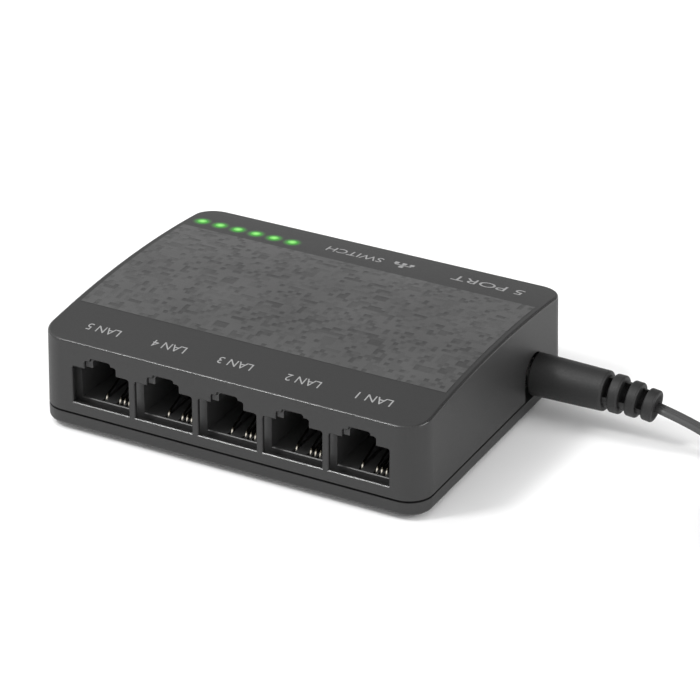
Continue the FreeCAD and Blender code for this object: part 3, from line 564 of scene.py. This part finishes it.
def case_material():
    """Charcoal plastic with a painted green halo round each light: emission on the top that stands in
    for the light each one spills onto the case.
    """
    made = grained("case_plastic", grey(0.013), grey(0.017), (0.47, 0.56))
    polish_edges(made)
    # Painted light: green emission on the case top, strongest next to each light and fading out from it.
    near = made.ranged(light_distance(made), 1.0, 0.0, *PAINTED_HALO_REACH)
    on_top = made.ranged(made.axes()[2], 0.0, 1.0, *PAINTED_HALO_HEIGHTS)
    painted_halo = made.maths("MULTIPLY", made.maths("POWER", near, 2.0), on_top)
    strength = made.maths("MULTIPLY", painted_halo, PAINTED_HALO_STRENGTH)
    made.link(strength, made.shader.inputs["Emission Strength"])
    made.set(Emission_Color=(0.08, 0.95, 0.04, 1.0))
    return made.material


def field_material(level):
    """One tone of the pattern: the higher the cell stands, the lighter it is."""
    tone = 0.010 + 0.008 * level
    made = grained(f"field_plastic_{level}", grey(tone), grey(tone + 0.044), (0.42, 0.55))
    return made.material


def plug_material():
    """Soft black vinyl with painted shade: a painted shadow darkens it near the socket, and it is near
    black deep in the pockets of the relief, where shade falls.
    """
    made = grained("plug_vinyl", grey(0.006), grey(0.009), (0.5, 0.62), 0.4 * MM)
    x, y, z = made.axes()
    past = made.maths("MAXIMUM", made.maths("SUBTRACT", x, RELIEF_START), 0.0)
    drop = made.maths("DIVIDE", made.maths("POWER", past, 2.0), 2 * RELIEF_BEND)
    across = made.maths("SUBTRACT", y, PLUG_AXIS_Y)
    upward = made.maths("ADD", made.maths("SUBTRACT", z, PLUG_AXIS_Z), drop)
    # Painted shade: near black deep in the pockets of the relief, where the shade falls; the vinyl keeps
    # its own tone on the outer surface.
    out_of_pocket_shade = made.ranged(made.distance(across, upward), 0.0, 1.0, *POCKET_SHADE_RADII)
    surface = made.shader.inputs["Base Color"].links[0].from_socket
    # Painted shadow: the vinyl is darker for the first few millimetres out from the socket.
    away = made.ranged(x, 0.0, 1.0, PLUG_FACE, PLUG_FACE + PLUG_SHADOW_LENGTH)
    surface = made.mixed(away, grey(0.002), surface)
    made.link(made.mixed(out_of_pocket_shade, grey(0.001), surface), made.shader.inputs["Base Color"])
    made.link(made.mixed(out_of_pocket_shade, grey(0.95), made.rough), made.shader.inputs["Roughness"])
    return made.material


METAL_SCALE = 900.0


def contact_material():
    """Plated wires: their plated colour where they bend at the front of the port, and near black further
    in as painted shade for the shade inside the jack.
    """
    made = Nodes("contact_gold")
    # Painted shade: the wires turn near black above the bend.
    unshaded_bend = made.ranged(made.axes()[2], 1.0, 0.0, BEND_TOP, BEND_TOP + WIRE_SHADE_FADE)
    colour = made.mixed(unshaded_bend, (0.05, 0.045, 0.035), (0.85, 0.8, 0.7))
    made.link(colour, made.shader.inputs["Base Color"])
    fine = made.noise(METAL_SCALE, 3.0)
    made.link(made.ranged(fine, 0.28, 0.4, *NOISE_MIDDLE), made.shader.inputs["Roughness"])
    made.set(Metallic=1.0)
    return made.material


def light_material():
    """The green ends of the light pipe, palest in their middles."""
    made = Nodes("light_pipe")
    core = made.ranged(light_distance(made), 1.0, 0.0, *LIGHT_CORE)
    colour = made.mixed(core, (0.035, 0.38, 0.02), (0.27, 0.88, 0.15))
    made.link(colour, made.shader.inputs["Emission Color"])
    made.set(Emission_Strength=LIGHT_STRENGTH)
    made.set(Base_Color=(0.01, 0.06, 0.01, 1.0), Roughness=0.4)
    return made.material


def metal(name, colour, roughness):
    made = Nodes(name)
    fine = made.noise(METAL_SCALE, 3.0)
    rough = made.ranged(fine, roughness * 0.8, roughness * 1.3, *NOISE_MIDDLE)
    made.link(rough, made.shader.inputs["Roughness"])
    made.set(Base_Color=(*colour, 1.0), Metallic=1.0)
    return made.material


# The first prefix that fits a node's name gives its material.
MATERIAL_OF = {
    "upper_shell": "case",
    "lower_shell": "case",
    "rating_label": "label",
    "foot_": "rubber",
    "case_screws": "steel",
    "circuit_board": "board",
    "jack_block": "jack",
    "contact_carrier": "jack",
    "contact_set": "gold",
    "transformer": "epoxy",
    "switch_chip_leads": "tin",
    "switch_chip": "epoxy",
    "crystal": "tin",
    "regulator": "epoxy",
    "inductor": "epoxy",
    "capacitor": "tin",
    "status_led": "light",
    "light_pipe": "light",
    "power_jack_housing": "jack",
    "power_jack": "tin",
    "plug_grip": "vinyl",
    "plug_insulator": "insulator",
    "plug_sleeve": "tin",
    "plug_contact": "tin",
    "cord_tie": "rubber",
    "cord_coil": "cord",
    "power_cord": "cord",
    "adapter_pins": "tin",
    "adapter_board": "board",
    "adapter_transformer": "epoxy",
    "adapter_relief": "vinyl",
    "adapter": "adapter",
}


def grained_material(*settings):
    return grained(*settings).material


def make_materials():
    green_dark, green_light = (0.01, 0.09, 0.03), (0.015, 0.12, 0.04)
    return {
        "gold": contact_material(),
        "steel": metal("screw_steel", (0.5, 0.5, 0.52), 0.35),
        "tin": metal("plated_metal", (0.62, 0.62, 0.6), 0.3),
        "case": case_material(),
        "jack": grained_material("jack_plastic", grey(0.036), grey(0.043), (0.32, 0.42)),
        "vinyl": plug_material(),
        "cord": grained_material("cord_vinyl", grey(0.052), grey(0.062), (0.33, 0.42), 0.4 * MM),
        "adapter": grained_material("adapter_plastic", grey(0.016), grey(0.02), (0.35, 0.5)),
        "rubber": grained_material("foot_rubber", grey(0.02), grey(0.026), (0.7, 0.85)),
        "board": grained_material("board_laminate", green_dark, green_light, (0.3, 0.4)),
        "epoxy": grained_material("chip_epoxy", grey(0.012), grey(0.016), (0.5, 0.6)),
        "label": grained_material("label_film", grey(0.55), grey(0.6), (0.35, 0.45)),
        "insulator": grained_material("insulator", grey(0.5), grey(0.55), (0.4, 0.5)),
        "light": light_material(),
    }


def dress_nodes(materials):
    """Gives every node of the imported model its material."""
    for name, piece in nodes.items():
        found = next(kind for prefix, kind in MATERIAL_OF.items() if name.startswith(prefix))
        piece.data.materials.clear()
        piece.data.materials.append(materials[found])


def ink_material():
    return grained_material("ink", grey(0.23), grey(0.29), (0.5, 0.6), 0.1 * MM)


# ---------------------------------------------------------------- studio


def area_light(name, place, aim, size, power):
    data = bpy.data.lights.new(name, "AREA")
    data.shape = "RECTANGLE"
    data.size, data.size_y = size
    data.energy = power
    light = bpy.data.objects.new(name, data)
    bpy.context.scene.collection.objects.link(light)
    light.location = place
    light.rotation_mode = "QUATERNION"
    light.rotation_quaternion = (Vector(aim) - Vector(place)).to_track_quat("-Z", "Y")


SHADE_DIRECTION = (0.25, 0.65, 0.72)
SHADE_STARTS = 0.45
SHADE_IS_FULL = 0.95
WORLD_STRENGTH = 1.18
SHADE_STRENGTH = 0.28
FLOOR_HALF_WIDTH = 6.0
AIM = (0, 0, 0.01)
# Each lamp's name, place, aim, size in metres, and power in watts.
LAMPS = (
    ("key", (-0.27, -0.30, 0.51), AIM, (0.11, 0.11), 1.6),
    ("overhead", (-0.26, -0.05, 0.58), AIM, (0.12, 0.2), 0.6),
    ("side", (0.60, 0.02, 0.30), (0.05, 0, 0.01), (0.3, 0.3), 1.5),
)


def light_the_world(tree):
    """White surroundings that are dimmer high up behind the object."""
    background = tree.nodes["Background"]
    background.inputs["Color"].default_value = (1.0, 1.0, 1.0, 1.0)
    towards = tree.nodes.new("ShaderNodeVectorMath")
    towards.operation = "DOT_PRODUCT"
    towards.inputs[1].default_value = SHADE_DIRECTION
    strength = tree.nodes.new("ShaderNodeMapRange")
    strength.interpolation_type = "SMOOTHSTEP"
    strength.inputs["From Min"].default_value = SHADE_STARTS
    strength.inputs["From Max"].default_value = SHADE_IS_FULL
    strength.inputs["To Min"].default_value = WORLD_STRENGTH
    strength.inputs["To Max"].default_value = SHADE_STRENGTH
    place = tree.nodes.new("ShaderNodeTexCoord")
    tree.links.new(place.outputs["Generated"], towards.inputs[0])
    tree.links.new(towards.outputs["Value"], strength.inputs["Value"])
    tree.links.new(strength.outputs["Result"], background.inputs["Strength"])


def make_studio():
    scene = bpy.context.scene
    scene.view_settings.view_transform = "Standard"
    world = bpy.data.worlds.new("studio")
    scene.world = world
    world.use_nodes = True
    light_the_world(world.node_tree)
    built = bmesh.new()
    bmesh.ops.create_grid(built, x_segments=1, y_segments=1, size=FLOOR_HALF_WIDTH)
    floor_material = grained_material("floor", grey(0.92), grey(0.94), (0.8, 0.9))
    floor = mesh_object("floor", built, floor_material)
    for lamp in LAMPS:
        area_light(*lamp)


make_camera()
make_studio()
materials = make_materials()
dress_nodes(materials)
make_cord(materials["cord"])
make_field([field_material(level) for level in range(FIELD_LEVELS)])
make_marks(ink_material())
